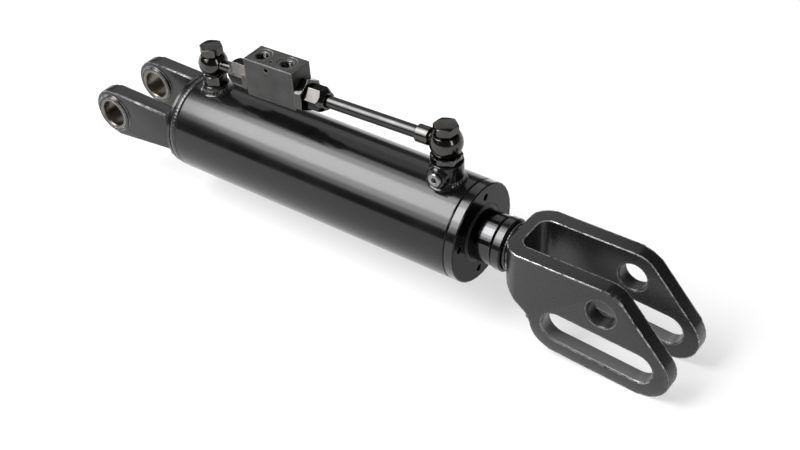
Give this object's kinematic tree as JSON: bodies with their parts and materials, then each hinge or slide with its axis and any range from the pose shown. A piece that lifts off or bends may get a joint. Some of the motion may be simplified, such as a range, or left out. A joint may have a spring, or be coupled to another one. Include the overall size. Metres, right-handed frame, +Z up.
{
  "type": "hydraulic lift rod",
  "caption": "Double-acting hydraulic lift rod with a forked base, a long slotted rod fork and a pilot-operated check valve piped between its ports.",
  "frame": {"origin": "centre of the bounding box on the surface that the object stands on", "axes": "+X along the cylinder from the base fork to the rod fork, +Z up towards the valve, +Y away from the picture's camera"},
  "size_m": [0.61, 0.09, 0.1691],
  "materials": {
    "gloss_black": "glossy black paint",
    "satin_black": "semi-matt black paint over forged or machined steel",
    "black_zinc": "black zinc plated steel, bright on worn edges",
    "block_steel": "dark blackened steel block",
    "bare_steel": "bare machined steel",
    "rod_chrome": "hard chromed rod",
    "weld": "painted weld bead",
    "seal_rubber": "seal rubber",
    "guide_plastic": "filled guide ring plastic",
    "copper": "copper sealing washer"
  },
  "bodies": {
    "barrel": {"barrel_tube": "gloss_black", "base_banjo": "black_zinc", "base_banjo_bolt": "black_zinc", "base_bush_far": "bare_steel", "base_bush_near": "bare_steel", "base_cap": "satin_black", "base_cap_weld": "weld", "base_check_seat": "bare_steel", "base_check_spring": "bare_steel", "base_ear_far": "satin_black", "base_ear_near": "satin_black", "base_ear_weld_far": "weld", "base_ear_weld_near": "weld", "base_port_adapter": "black_zinc", "base_port_boss": "satin_black", "base_union_adapter": "black_zinc", "base_union_nut": "black_zinc", "base_washer_lower": "copper", "base_washer_upper": "copper", "bleed_plug": "black_zinc", "gland": "satin_black", "gland_banjo": "black_zinc", "gland_banjo_bolt": "black_zinc", "gland_check_seat": "bare_steel", "gland_check_spring": "bare_steel", "gland_o_ring": "seal_rubber", "gland_port_adapter": "black_zinc", "gland_port_boss": "satin_black", "gland_union_adapter": "black_zinc", "gland_union_nut": "black_zinc", "gland_washer_lower": "copper", "gland_washer_upper": "copper", "pipe_sleeve": "black_zinc", "rod_guide_ring": "guide_plastic", "rod_seal": "seal_rubber", "valve_block": "block_steel", "valve_pipe": "black_zinc", "wiper_seal": "seal_rubber"},
    "piston_rings": {"piston_seal": "seal_rubber", "piston_guide_ring_base": "guide_plastic", "piston_guide_ring_rod": "guide_plastic"},
    "rod": {"piston": "bare_steel", "piston_nut": "bare_steel", "piston_o_ring": "seal_rubber", "piston_rod": "rod_chrome", "neck_collar": "satin_black", "fork_weld": "weld", "rod_clevis": "satin_black"},
    "pilot": {"pilot_piston": "bare_steel"},
    "base_poppet": {"base_check_poppet": "bare_steel"},
    "gland_poppet": {"gland_check_poppet": "bare_steel"}
  },
  "joints": [
    {"name": "rod_slide", "type": "slide", "parent": "barrel", "child": "piston_rings", "axis": [1, 0, 0], "range_m": [0, 0.2001]},
    {"name": "rod_turn", "type": "hinge", "parent": "piston_rings", "child": "rod", "pos_m": [-0.19582, 0, 0.06802], "axis": [1, 0, 0], "continuous": true},
    {"name": "pilot_slide", "type": "slide", "parent": "barrel", "child": "pilot", "axis": [0.9994, 0, 0.0334], "range_m": [-0.001, 0.001]},
    {"name": "base_check_slide", "type": "slide", "parent": "barrel", "child": "base_poppet", "axis": [-0.9994, 0, -0.0334], "range_m": [0, 0.0015], "stiffness_N_per_m": 400, "springref_m": -0.004, "deforming": ["base_check_spring"]},
    {"name": "gland_check_slide", "type": "slide", "parent": "barrel", "child": "gland_poppet", "axis": [0.9994, 0, 0.0334], "range_m": [0, 0.0015], "stiffness_N_per_m": 400, "springref_m": -0.004, "deforming": ["gland_check_spring"]}
  ]
}
